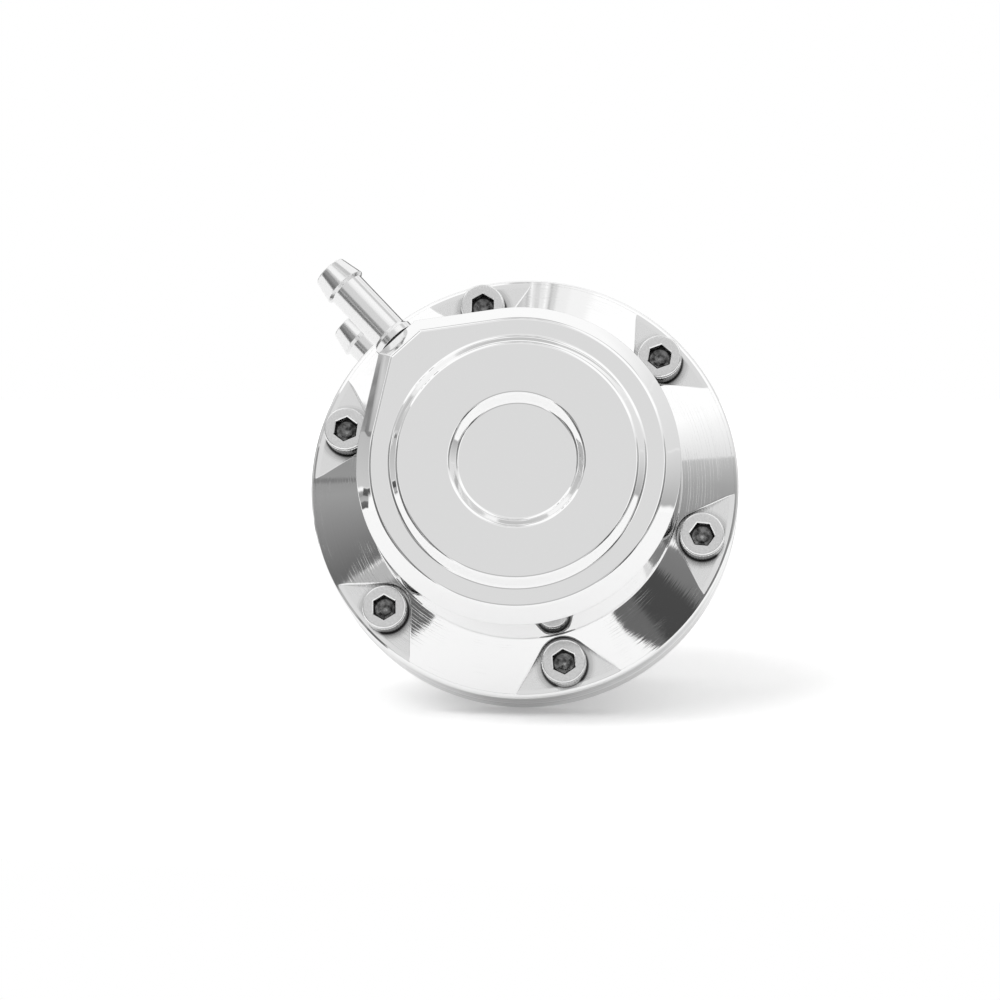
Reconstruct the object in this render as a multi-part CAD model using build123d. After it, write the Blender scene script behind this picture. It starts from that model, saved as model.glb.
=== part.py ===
from build123d import *
from math import acos, asin, atan2, cos, degrees, hypot, pi, radians, sin, tan
import os

# Dual port wastegate actuator in machined aluminium.
# Frame: Z is the rod's axis and points at the cap, the hose tails point along +X,
# and the origin is the middle of the flat mounting face under the body.
# Lengths are millimetres and angles are degrees.

# Diameters across the section, counted outwards from the rod: shaft seal, hub, inner spring,
# outer spring, piston, chamber that the diaphragm rolls on, and the walls round it
rod_d = 8.0
seal_d = 15.0
hub_wall = 2.8
hub_to_spring = 2.0
inner_spring_wire = 2.2
spring_to_spring = 2.7
outer_spring_wire = 2.8
spring_to_skirt = 1.0
piston_wall = 1.6
fold_gap = 4.4
cap_wall = 3.4
body_wall = 4.0
hub_d = seal_d + 2 * hub_wall
inner_spring_d = hub_d + 2 * hub_to_spring + inner_spring_wire
outer_spring_d = inner_spring_d + inner_spring_wire + 2 * spring_to_spring + outer_spring_wire
piston_d = outer_spring_d + outer_spring_wire + 2 * (spring_to_skirt + piston_wall)
bore_d = piston_d + 2 * fold_gap
can_d = bore_d + 2 * cap_wall
body_d = bore_d + 2 * body_wall

# Screws: socket head cap screws, each with room to the can and metal to the rim
screw_count = 6
screw_angle = 30.0
screw_d = 5.0
screw_length = 12.0
screw_head_d = 8.5
screw_head_h = 5.0
screw_socket_af = 4.0
screw_socket_depth = 2.5
screw_hole_clear = 0.25
screw_to_can = 1.15
screw_to_rim = 5.45
screw_hole_d = screw_d + 2 * screw_hole_clear
screw_pcd = can_d + 2 * screw_to_can + screw_head_d

# Flanges
flange_d = screw_pcd + 2 * screw_to_rim
cap_flange_t = 6.2
body_flange_t = 5.4
edge_break = 0.5

# Cap
can_h = 22.1
cone_rise = 3.8
rim_fall = 0.1
face_chamfer = 2.9
pocket_clearance = 0.6
pocket_half_angle = 45.0
ring_h = 1.5
ring_inner_d = 22.4
ring_outer_d = 47.9
cap_roof = 4.0
stop_wall = 2.5
stop_slot_w = 5.0
stop_slots = 3

# Body
body_h = 40.0
floor_t = 11.0
base_chamfer = 2.5
hub_h = 24.0
mount_count = 4
mount_angle = 45.0
mount_pcd = 44.0
mount_hole_d = 5.0
mount_hole_depth = 8.5

# Hose tails and the bosses that they screw into
cap_boss_out = 3.5
body_boss_out = 6.0
boss_w = 9.2
cap_port_h = 13.6
body_port_z = 13.6
port_bore_d = 4.2
tail_bore_d = 3.6
tail_thread_d = 6.0
tail_thread_l = 6.0
tail_tube_d = 7.2
tail_tube_l = 12.7
tail_collar_d = 8.4
tail_collar_t = 1.4
tail_barb_d = 8.5
tail_barb_step = 0.5
tail_barb_l = 4.4
tail_tip_d = 6.6
tail_seal_t = 1.0
tail_seal_d = 7.6

# Rod, bush and shaft seal
rod_out = 24.0
stud_d = 6.0
thread_out = 20.0
bush_wall = 2.0
bush_l = 14.0
bush_recess = 0.5
seal_t = 4.0
seal_washer_t = 1.0
circlip_t = 1.0
circlip_groove = 0.6
circlip_w = 1.8

# Piston and diaphragm
piston_deck = 4.0
piston_skirt = 20.0
piston_hub_h = 2.0
piston_hub_gap = 0.5
piston_hub_d = inner_spring_d - inner_spring_wire - 2 * piston_hub_gap
sheet_t = 0.8
fold_drop = 6.0
plate_step = 1.1
plate_t = 2.5
plate_lip = 1.5
plate_lip_w = 1.5
plate_d = piston_d - 2 * plate_step
nut_washer_d = 16.0
nut_washer_t = 1.6
nut_af = 10.0
nut_h = 6.0
stud_over_nut = 0.5
stud_to_roof = 1.3

# Springs: the outer one stands inside the piston's skirt, and the inner one round its hub
outer_spring_turns = 6.5
inner_spring_turns = 8.5
spring_gap = 0.15

# Lock nut, clevis and its pin
lock_nut_h = 5.0
clevis_w = 12.0
clevis_slot = 6.0
clevis_slot_depth = 12.0
clevis_l = 24.0
clevis_tip = 7.0
clevis_neck_d = 10.0
clevis_neck_l = 9.0
clevis_thread_l = 12.0
pin_d = 6.0
pin_head_d = 9.0
pin_head_t = 1.5
pin_end = 1.6
clip_t = 0.7
clip_d = 11.0
clip_groove = 0.5

# Clearances, each measured on the radius or on one side
thread_clear = 0.03
slide_clear = 0.03
pin_clear = 0.05
side_clear = 0.1
sheet_clear = 0.3
stop_clear = 1.0

# Heights that follow from the sizes above. At rest the piston is held up against the cap,
# so its stack is counted down from the cap's roof.
joint_z = body_h + sheet_t
pocket_z = joint_z + cap_flange_t
face_z = pocket_z + can_h
roof_z = face_z - cap_roof
cap_port_z = pocket_z + cap_port_h
stud_top_z = roof_z - stud_to_roof
nut_z = stud_top_z - stud_over_nut - nut_h
nut_washer_z = nut_z - nut_washer_t
plate_z = nut_washer_z - plate_t
piston_z = plate_z - sheet_t
spring_top_z = piston_z - piston_deck
rod_top_z = spring_top_z - piston_hub_h
lock_nut_z = -rod_out - thread_out / 4
clevis_z = lock_nut_z - lock_nut_h
pin_z = clevis_z - clevis_l
tip_z = pin_z - clevis_tip
seal_z = bush_recess + bush_l
seal_washer_z = seal_z + seal_t
circlip_z = seal_washer_z + seal_washer_t
cap_boss_reach = can_d / 2 + cap_boss_out
body_boss_reach = body_d / 2 + body_boss_out
stop_d = plate_d - 2 * (plate_lip_w + stop_clear)


def cylinder(d, z0, z1, x=0.0, y=0.0):
    """A round bar between two heights."""
    return Pos(x, y, z0) * Cylinder(d / 2, z1 - z0, align=(Align.CENTER, Align.CENTER, Align.MIN))


def turned(points):
    """A turned solid from its half section, given as (radius, height) corners."""
    section = make_face(Polyline(*points, close=True))
    return revolve(Rot(X=90) * section, Axis.Z)


def radial_bar(d, x0, x1, z):
    """A round bar along X at a height."""
    bar = Cylinder(d / 2, x1 - x0, align=(Align.CENTER, Align.CENTER, Align.MIN))
    return Pos(x0, 0, z) * Rot(Y=90) * bar


def places(count, angle, pcd, z=0.0):
    """Places spaced evenly round the axis, each turned to face outwards."""
    return [
        Rot(Z=angle + 360 * i / count) * Pos(pcd / 2, 0, z)
        for i in range(count)
    ]


def hexagon(af, z0, z1):
    """A hexagonal bar between two heights."""
    return Pos(0, 0, z0) * extrude(RegularPolygon(af / 2, 6, major_radius=False), z1 - z0)


def can_outline(r, reach, flat_w):
    """A round can with a boss: its sides leave the circle as tangents and end at a flat."""
    corner_angle = degrees(atan2(flat_w / 2, reach))
    corner_r = hypot(flat_w / 2, reach)
    touch = radians(corner_angle + degrees(acos(r / corner_r)))
    tangent = (r * cos(touch), r * sin(touch))
    boss = Polyline(
        (0, 0), (tangent[0], -tangent[1]), (reach, -flat_w / 2),
        (reach, flat_w / 2), tangent, close=True,
    )
    return Circle(r) + make_face(boss)


def screw_pocket():
    """The milled pocket round one screw: a round end that opens outwards between two walls."""
    r = screw_head_d / 2 + pocket_clearance
    a = radians(pocket_half_angle)
    reach = flange_d - screw_pcd / 2
    near = (-r * sin(a), r * cos(a))
    far = (near[0] + reach * cos(a), near[1] + reach * sin(a))
    mouth = Polyline(near, far, (far[0], -far[1]), (near[0], -near[1]), close=True)
    return extrude(Circle(r) + make_face(mouth), can_h)


def make_cap():
    """Cap: flange with a conical top, six screw pockets, and the can with its boss."""
    rim_z = pocket_z - rim_fall
    r = flange_d / 2
    flange = turned([
        (0, joint_z), (r - edge_break, joint_z), (r, joint_z + edge_break),
        (r, rim_z - edge_break), (r - edge_break, rim_z),
        (can_d / 2, pocket_z + cone_rise), (0, pocket_z + cone_rise),
    ])
    for place in places(screw_count, screw_angle, screw_pcd, pocket_z):
        flange -= place * screw_pocket()
    can = Pos(0, 0, joint_z) * extrude(can_outline(can_d / 2, cap_boss_reach, boss_w), face_z - joint_z)
    can = chamfer(can.edges().group_by(Axis.Z)[-1], face_chamfer)
    ring = turned([
        (ring_inner_d / 2, face_z), (ring_outer_d / 2, face_z),
        (ring_outer_d / 2 - ring_h, face_z + ring_h), (ring_inner_d / 2 + ring_h, face_z + ring_h),
    ])
    cap = flange + can + ring
    cap -= cylinder(bore_d, joint_z, roof_z)
    cap -= turned([(0, joint_z), (bore_d / 2 + 1, joint_z), (bore_d / 2, joint_z + 1), (0, joint_z + 1)])
    stop = cylinder(stop_d, nut_washer_z, roof_z) - cylinder(stop_d - 2 * stop_wall, nut_washer_z, roof_z)
    for place in places(stop_slots, 60, 0, nut_washer_z):
        stop -= place * Box(stop_d, stop_slot_w, 2 * stop_wall, align=(Align.MIN, Align.CENTER, Align.CENTER))
    cap += stop
    for place in places(screw_count, screw_angle, screw_pcd):
        cap -= place * cylinder(screw_hole_d, joint_z, pocket_z)
    return cut_port(cap, cap_boss_reach, bore_d / 2, cap_port_z)


def cut_port(shell, reach, bore_r, z):
    """Drills a hose tail's tapped hole and the air passage behind it."""
    tapped = radial_bar(tail_thread_d + 2 * thread_clear, reach - tail_thread_l, reach, z)
    passage = radial_bar(port_bore_d, bore_r - 1, reach, z)
    return shell - tapped - passage


def make_body():
    """Body: flange, can with its boss, spring chamber, central hub and tapped mounting holes."""
    r = flange_d / 2
    flange = turned([
        (0, body_h - body_flange_t), (r - edge_break, body_h - body_flange_t),
        (r, body_h - body_flange_t + edge_break), (r, body_h - edge_break),
        (r - edge_break, body_h), (0, body_h),
    ])
    can = extrude(can_outline(body_d / 2, body_boss_reach, boss_w), body_h - body_flange_t / 2)
    can = chamfer(can.edges().group_by(Axis.Z)[0], base_chamfer)
    body = flange + can
    body -= cylinder(bore_d, floor_t, body_h)
    body -= turned([
        (0, body_h - 1), (bore_d / 2, body_h - 1), (bore_d / 2 + 1, body_h), (0, body_h),
    ])
    body += cylinder(hub_d, floor_t, hub_h)
    body -= cylinder(rod_d + 2 * slide_clear + 2 * bush_wall, 0, seal_z)
    body -= cylinder(seal_d, seal_z, hub_h)
    groove = circlip_z - thread_clear, circlip_z + circlip_t + thread_clear
    body -= cylinder(seal_d + 2 * circlip_groove, *groove)
    for place in places(mount_count, mount_angle, mount_pcd):
        body -= place * cylinder(mount_hole_d, 0, mount_hole_depth)
    for place in places(screw_count, screw_angle, screw_pcd):
        body -= place * cylinder(screw_d + 2 * thread_clear, body_h - body_flange_t, body_h)
    return cut_port(body, body_boss_reach, bore_d / 2, body_port_z)


def make_cap_screws():
    """Six socket head cap screws."""
    head_z = pocket_z + screw_head_h
    screw = cylinder(screw_head_d, pocket_z, head_z)
    screw = chamfer(screw.edges().group_by(Axis.Z)[-1], 0.35)
    screw += cylinder(screw_d, pocket_z - screw_length, pocket_z)
    screw = chamfer(screw.edges().group_by(Axis.Z)[0], 0.5)
    screw -= hexagon(screw_socket_af, head_z - screw_socket_depth, head_z)
    return Compound([place * screw for place in places(screw_count, screw_angle, screw_pcd)])


def make_hose_tail(reach, z):
    """Hose tail: threaded end, collar, plain tube, and one barb that tapers to the tip."""
    seat = reach + tail_seal_t
    tube = seat + tail_collar_t
    barb = tube + tail_tube_l
    tip = barb + tail_barb_step + tail_barb_l
    outline = [
        (0, reach - tail_thread_l + 0.5), (tail_thread_d / 2, reach - tail_thread_l + 0.5),
        (tail_thread_d / 2, seat), (tail_collar_d / 2, seat), (tail_collar_d / 2, tube - 0.4),
        (tail_tube_d / 2, tube + 0.3), (tail_tube_d / 2, barb), (tail_barb_d / 2, barb + tail_barb_step),
        (tail_tip_d / 2, tip), (0, tip),
    ]
    tail = turned(outline) - cylinder(tail_bore_d, reach - tail_thread_l, tip)
    return Pos(0, 0, z) * Rot(Y=90) * tail


def make_tail_seal(reach, z):
    """Rubber ring squeezed between a hose tail's collar and its boss."""
    ring = cylinder(tail_seal_d, reach, reach + tail_seal_t)
    ring = fillet(ring.edges(), tail_seal_t * 0.4)
    ring -= cylinder(tail_thread_d + 2 * side_clear, reach, reach + tail_seal_t)
    return Pos(0, 0, z) * Rot(Y=90) * ring


def make_diaphragm():
    """Rolling diaphragm: flat rim between the flanges, one deep fold, and a flat on the piston."""
    half = sheet_t / 2
    outer = bore_d / 2 - sheet_clear - half
    inner = piston_d / 2 + sheet_clear + half
    fold_r = (outer - inner) / 2
    fold_z = body_h - fold_drop
    bend = 1.2
    rim_z = body_h + half
    top_z = piston_z + half
    path = Polyline((flange_d / 2 - edge_break - half, rim_z), (outer + bend, rim_z))
    path += RadiusArc((outer + bend, rim_z), (outer, rim_z - bend), -bend)
    path += Line((outer, rim_z - bend), (outer, fold_z))
    path += RadiusArc((outer, fold_z), (inner, fold_z), fold_r)
    path += Line((inner, fold_z), (inner, top_z - bend))
    path += RadiusArc((inner, top_z - bend), (inner - bend, top_z), -bend)
    path += Line((inner - bend, top_z), (stud_d / 2 + side_clear + half, top_z))
    section = trace(path, line_width=sheet_t)
    sheet = revolve(Rot(X=90) * section, Axis.Z)
    for place in places(screw_count, screw_angle, screw_pcd):
        sheet -= place * cylinder(screw_hole_d, body_h, joint_z)
    return sheet


def make_piston():
    """Piston: a cup that opens downwards over the springs, with a hub for the rod."""
    r = piston_d / 2
    bottom = piston_z - piston_skirt
    deck = piston_z - piston_deck
    return turned([
        (stud_d / 2 + thread_clear, rod_top_z), (piston_hub_d / 2, rod_top_z),
        (piston_hub_d / 2, deck), (r - piston_wall - 1, deck), (r - piston_wall, deck - 1),
        (r - piston_wall, bottom), (r, bottom), (r, piston_z - 1), (r - 1, piston_z),
        (stud_d / 2 + thread_clear, piston_z),
    ])


def make_diaphragm_plate():
    """Plate that clamps the diaphragm to the piston, with a raised lip at its edge."""
    r = plate_d / 2
    return turned([
        (stud_d / 2 + thread_clear, plate_z), (r - 1, plate_z), (r, plate_z + 1),
        (r, plate_z + plate_t + plate_lip), (r - plate_lip_w, plate_z + plate_t + plate_lip),
        (r - plate_lip_w, plate_z + plate_t), (stud_d / 2 + thread_clear, plate_z + plate_t),
    ])


def make_washer(inner_d, outer_d, z, t):
    """A flat washer."""
    return cylinder(outer_d, z, z + t) - cylinder(inner_d, z, z + t)


def make_nut(z, h):
    """A hexagon nut with its corners turned off at both faces."""
    corner_r = nut_af / 2 / cos(radians(30))
    drop = (corner_r - nut_af / 2) * tan(radians(30))
    blank = turned([
        (0, z), (nut_af / 2, z), (corner_r, z + drop),
        (corner_r, z + h - drop), (nut_af / 2, z + h), (0, z + h),
    ])
    return (hexagon(nut_af, z, z + h) & blank) - cylinder(stud_d + 2 * thread_clear, z, z + h)


def make_spring(mean_d, wire, turns):
    """Compression spring: its end coils close up and are ground flat."""
    low = floor_t + wire / 2
    high = spring_top_z - wire / 2
    closed = 0.75
    rise = wire * 1.02 * closed

    def height(turn):
        """Height of the wire after some turns: slow over the end coils and even between them."""
        if turn <= closed:
            return low + rise * turn / closed
        if turn >= turns - closed:
            return high - rise * (turns - turn) / closed
        share = (turn - closed) / (turns - 2 * closed)
        return low + rise + (high - low - 2 * rise) * share

    steps = round(turns * 8)
    points = []
    for i in range(steps + 1):
        turn = turns * i / steps
        a = 2 * pi * turn
        points.append((mean_d / 2 * cos(a), mean_d / 2 * sin(a), height(turn)))
    line = Spline(*points)
    coil = sweep(Plane(line @ 0, z_dir=line % 0) * Circle(wire / 2), path=line, is_frenet=True)
    slab = cylinder(mean_d + 4 * wire, floor_t + spring_gap, spring_top_z - spring_gap)
    return coil & slab


def make_rod():
    """Rod: ground shaft with a threaded end below and a stud for the piston above."""
    end_z = -rod_out - thread_out
    return turned([
        (0, end_z), (stud_d / 2 - 0.6, end_z), (stud_d / 2, end_z + 0.6), (stud_d / 2, -rod_out),
        (rod_d / 2 - 0.5, -rod_out), (rod_d / 2, -rod_out + 0.5), (rod_d / 2, rod_top_z),
        (stud_d / 2, rod_top_z), (stud_d / 2, stud_top_z - 0.5), (stud_d / 2 - 0.5, stud_top_z),
        (0, stud_top_z),
    ])


def make_bush():
    """Plain bush pressed into the hub, with a lead at both ends of its bore."""
    bore = rod_d / 2 + slide_clear
    r = bore + bush_wall
    return turned([
        (bore + 0.4, bush_recess), (r - 0.4, bush_recess), (r, bush_recess + 0.4), (r, seal_z - 0.4),
        (r - 0.4, seal_z), (bore + 0.4, seal_z), (bore, seal_z - 0.4), (bore, bush_recess + 0.4),
    ])


def make_rod_seal():
    """Shaft seal with a grooved face, so that air pressure spreads its lip."""
    bore = rod_d / 2 + slide_clear
    r = seal_d / 2
    return turned([
        (bore + 0.5, seal_z), (r, seal_z), (r, seal_z + seal_t), (r - 0.9, seal_z + seal_t),
        (r - 1.3, seal_z + seal_t / 2), (bore + 1.3, seal_z + seal_t / 2), (bore + 0.9, seal_z + seal_t),
        (bore, seal_z + seal_t), (bore, seal_z + seal_t - 1), (bore + 0.5, seal_z + seal_t - 1.6),
    ])


def make_circlip():
    """Internal circlip: an open ring with two eyes for the pliers."""
    r = seal_d / 2 + circlip_groove - thread_clear
    gap = 50
    ring = Circle(r) - Circle(r - circlip_w)
    mouth = make_face(Polyline(
        (0, 0), (2 * r * cos(radians(gap / 2)), -2 * r * sin(radians(gap / 2))),
        (2 * r * cos(radians(gap / 2)), 2 * r * sin(radians(gap / 2))), close=True,
    ))
    ring -= mouth
    for side in (-1, 1):
        eye = Rot(Z=side * (gap / 2 + 4)) * Pos(r - circlip_w, 0)
        ring += eye * Circle(1.3)
        ring -= eye * Circle(0.6)
    return Pos(0, 0, circlip_z) * extrude(ring, circlip_t)


def make_clevis():
    """Fork end: square fork with a round neck, slot for the lever, and cross hole."""
    fork_top = clevis_z - clevis_neck_l
    fork = Pos(0, 0, tip_z) * Box(
        clevis_w, clevis_w, fork_top - tip_z, align=(Align.CENTER, Align.CENTER, Align.MIN)
    )
    round_r = clevis_w * 0.62
    fork &= turned([
        (0, tip_z), (round_r - 2.4, tip_z), (round_r, tip_z + 2.4), (round_r, fork_top - 1.6),
        (clevis_neck_d / 2, fork_top), (0, fork_top),
    ])
    neck = turned([
        (0, fork_top - 1), (clevis_neck_d / 2, fork_top - 1), (clevis_neck_d / 2, clevis_z - 0.6),
        (clevis_neck_d / 2 - 0.6, clevis_z), (0, clevis_z),
    ])
    clevis = fork + neck
    slot_top = pin_z + clevis_slot_depth
    clevis -= Pos(0, 0, tip_z) * Box(
        2 * clevis_w, clevis_slot, slot_top - tip_z, align=(Align.CENTER, Align.CENTER, Align.MIN)
    )
    clevis -= cylinder(stud_d + 2 * thread_clear, clevis_z - clevis_thread_l, clevis_z)
    hole = Cylinder(pin_d / 2 + pin_clear, 2 * clevis_w)
    return clevis - Pos(0, 0, pin_z) * Rot(X=90) * hole


def on_pin(shape):
    """Carries a shape made round Z to the clevis pin's axis, with its start at the head's side."""
    return Pos(0, -clevis_w / 2, pin_z) * Rot(X=-90) * shape


def make_clevis_pin():
    """Pin with a flat head and a groove for its clip."""
    r = pin_d / 2
    groove0 = clevis_w + side_clear
    groove1 = groove0 + clip_t + side_clear
    end = groove1 + pin_end
    under_head = -side_clear
    return on_pin(turned([
        (0, under_head - pin_head_t), (pin_head_d / 2 - 0.4, under_head - pin_head_t),
        (pin_head_d / 2, under_head - pin_head_t + 0.4), (pin_head_d / 2, under_head),
        (r, under_head), (r, groove0), (r - clip_groove, groove0), (r - clip_groove, groove1),
        (r, groove1), (r, end - 0.5), (r - 0.5, end), (0, end),
    ]))


def make_pin_clip():
    """E clip: an open ring with three teeth that reach the bottom of the pin's groove."""
    r = clip_d / 2
    grip = pin_d / 2 - clip_groove
    ring = Circle(r) - Circle(r - 1.7)
    for angle in (60, 180, 300):
        ring += Rot(Z=angle) * Pos((grip + r) / 2, 0) * Rectangle(r - grip - 0.6, 2.4)
    ring -= Circle(grip)
    ring -= Pos(r, 0) * Rectangle(2 * r - 2, 2 * grip * 0.9)
    z = clevis_w + side_clear + side_clear / 2
    return on_pin(Pos(0, 0, z) * extrude(ring, clip_t))


def make_parts():
    """Every piece by its node name."""
    return {
        "cap": make_cap(),
        "body": make_body(),
        "cap_screws": make_cap_screws(),
        "cap_hose_tail": make_hose_tail(cap_boss_reach, cap_port_z),
        "body_hose_tail": make_hose_tail(body_boss_reach, body_port_z),
        "cap_tail_seal": make_tail_seal(cap_boss_reach, cap_port_z),
        "body_tail_seal": make_tail_seal(body_boss_reach, body_port_z),
        "diaphragm": make_diaphragm(),
        "piston": make_piston(),
        "diaphragm_plate": make_diaphragm_plate(),
        "piston_washer": make_washer(stud_d + 2 * side_clear, nut_washer_d, nut_washer_z, nut_washer_t),
        "piston_nut": make_nut(nut_z, nut_h),
        "outer_spring": make_spring(outer_spring_d, outer_spring_wire, outer_spring_turns),
        "inner_spring": make_spring(inner_spring_d, inner_spring_wire, inner_spring_turns),
        "actuator_rod": make_rod(),
        "rod_guide_bush": make_bush(),
        "rod_seal": make_rod_seal(),
        "seal_washer": make_washer(rod_d + 1.0, seal_d - 2 * thread_clear, seal_washer_z, seal_washer_t),
        "seal_circlip": make_circlip(),
        "lock_nut": make_nut(clevis_z, lock_nut_h),
        "clevis": make_clevis(),
        "clevis_pin": make_clevis_pin(),
        "pin_clip": make_pin_clip(),
    }


os.makedirs("parts", exist_ok=True)
for name, part in make_parts().items():
    export_step(part, f"parts/{name}.step")
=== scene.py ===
"""A dual port wastegate actuator, mirror polished, lying on a white table in a bright studio.

The sizes are millimetres, in the part's own frame: Z is the rod's axis and points at the cap,
the two hose tails point along +X, and the origin is the middle of the body's mounting face.
"""

from math import acos, atan2, cos, hypot, pi, radians, sin, tan

import bmesh
import bpy
import numpy as np
from mathutils import Matrix, Vector


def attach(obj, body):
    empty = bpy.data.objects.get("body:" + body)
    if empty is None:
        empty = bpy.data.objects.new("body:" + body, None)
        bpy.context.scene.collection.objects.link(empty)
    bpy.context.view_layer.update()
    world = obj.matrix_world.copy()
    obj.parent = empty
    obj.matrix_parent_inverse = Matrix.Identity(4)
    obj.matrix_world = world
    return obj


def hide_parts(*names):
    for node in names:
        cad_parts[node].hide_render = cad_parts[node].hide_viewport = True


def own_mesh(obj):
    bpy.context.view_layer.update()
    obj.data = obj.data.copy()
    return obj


MM = 0.001

# Flanges, screws and the pockets round the screws
flange_d = 82.5
edge_break = 0.5
joint_z = 40.8
pocket_z = 47.0
rim_z = 46.9
rim_bevel = 0.32
cone_top_z = 50.8
screw_pcd = 71.6
screw_angles = np.radians(np.arange(30, 390, 60))
pocket_r = 4.85
pocket_round = 0.3
head_d = 8.5
head_h = 5.0
screw_d = 5.0
screw_l = 12.0
socket_af = 4.0
screw_turns = np.radians([50, 42, 38, 19, 53, 44])
socket_depth = 2.5

# Cap
can_d = 60.8
cap_reach = 33.9
boss_w = 9.2
boss_corner = 0.25
face_z = 69.1
face_chamfer = 2.9
ring_h = 1.5
ring_inner_d = 22.4
ring_outer_d = 47.9
polish_r = 1.3
bore_d = 54.0
roof_z = 65.1
cap_port_z = 60.6

# Body
body_d = 62.0
body_reach = 37.0
body_h = 40.0
body_under_z = 34.6
base_chamfer = 2.5
floor_z = 11.0
hub_d = 20.6
hub_h = 24.0
seal_pocket_d = 15.0
bush_d = 12.06
bush_top_z = 14.5
mount_angles = np.radians([45, 135, 225, 315])
mount_pcd = 44.0
mount_hole_d = 5.0
mount_hole_depth = 8.5
body_port_z = 13.6

# Hose tails
tail_thread_d = 6.0
tail_thread_l = 5.5
tail_bore_d = 3.6
tail_tube_d = 7.2
tail_tube_l = 12.7
tail_collar_d = 8.4
tail_collar_t = 1.4
tail_barb_d = 8.5
tail_barb_step = 0.5
tail_barb_l = 4.4
tail_tip_d = 6.6
tail_seal_t = 1.0
tail_seal_d = 7.6
tail_seal_in_d = 6.6
tail_lip = 0.2
tail_lip_gap = 0.04

# Rod, nuts, springs and diaphragm
rod_d = 8.0
rod_top_z = 46.4
rod_out_z = -24.0
rod_end_z = -44.0
stud_top_z = 63.8
thread_d = 6.0
thread_pitch = 1.0
thread_depth = 0.55
nut_bore_d = 6.06
nut_af = 10.0
lock_nut_z = -34.0
lock_nut_h = 5.0
piston_nut_z = 57.3
piston_nut_h = 6.0
spring_low_z = 11.15
spring_high_z = 48.25
sheet_t = 0.8
sheet_gap = 0.3
fold_drop = 6.0
piston_top_z = 52.4
piston_d = 45.2
# Each spring's mean diameter, wire and number of turns
springs = {"outer_spring": (37.2, 2.8, 6.5), "inner_spring": (26.8, 2.2, 8.5)}

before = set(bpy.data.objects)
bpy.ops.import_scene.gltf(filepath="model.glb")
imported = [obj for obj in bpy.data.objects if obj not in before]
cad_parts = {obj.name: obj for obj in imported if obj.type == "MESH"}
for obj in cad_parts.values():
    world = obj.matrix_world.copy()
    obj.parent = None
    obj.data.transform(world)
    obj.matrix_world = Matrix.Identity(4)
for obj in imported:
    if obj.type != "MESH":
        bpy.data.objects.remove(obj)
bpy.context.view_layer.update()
scene = bpy.context.scene


# Shapes

def rounded(corners, steps=5, lead=0.06):
    """A profile through corners given as (a, b, radius). Each corner inside the profile is
    replaced by the arc of its radius that touches both of its sides, and one more point
    stands a short lead before and after the arc, so that the flats keep their own shading."""
    line = [corners[0][:2]]
    for before, here, after in zip(corners[:-2], corners[1:-1], corners[2:]):
        if len(here) < 3:
            line.append(here)
            continue
        here_point = np.array(here[:2])
        back = np.array(before[:2]) - here_point
        on = np.array(after[:2]) - here_point
        room = min(hypot(*back), hypot(*on)) / 2
        back, on = back / hypot(*back), on / hypot(*on)
        turn = pi - acos(np.clip(back @ on, -1, 1))
        cut = min(here[2] * tan(turn / 2), 0.9 * room)
        if cut < 1e-4:
            line.append(here[:2])
            continue
        radius = cut / tan(turn / 2)
        centre = here_point + (back + on) / hypot(*(back + on)) * radius / cos(turn / 2)
        first = (here_point + back * cut - centre) / radius
        last = (here_point + on * cut - centre) / radius
        share = np.linspace(0, 1, steps + 1)[:, None]
        arc = np.sin((1 - share) * turn) * first + np.sin(share * turn) * last
        arc = centre + radius * arc / sin(turn)
        if cut + lead < room:
            arc = np.vstack([here_point + back * (cut + lead), arc, here_point + on * (cut + lead)])
        line.extend(arc)
    line.append(corners[-1][:2])
    return np.array(line, float)


def turned(profile, columns=144, axis="Z", centre=(0.0, 0.0)):
    """A surface of revolution: the point (r, h) of the profile goes to radius r and height h
    at evenly spaced angles round the axis. The centre moves the axis sideways."""
    r, h = np.asarray(profile, float).T
    angle = np.linspace(0, 2 * pi, columns, endpoint=False)
    u = r[:, None] * np.cos(angle) + centre[0]
    v = r[:, None] * np.sin(angle) + centre[1]
    w = np.broadcast_to(h[:, None], u.shape)
    return np.stack([u, v, w] if axis == "Z" else [w, u, v], axis=-1)


def quads(rows, columns, closed=True):
    """The quads of a grid, between neighbouring rows and neighbouring columns."""
    index = np.arange(rows * columns).reshape(rows, columns)
    if closed:
        index = np.hstack([index, index[:, :1]])
    corners = [index[:-1, :-1], index[:-1, 1:], index[1:, 1:], index[1:, :-1]]
    return np.stack(corners, axis=-1).reshape(-1, 4)


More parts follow.
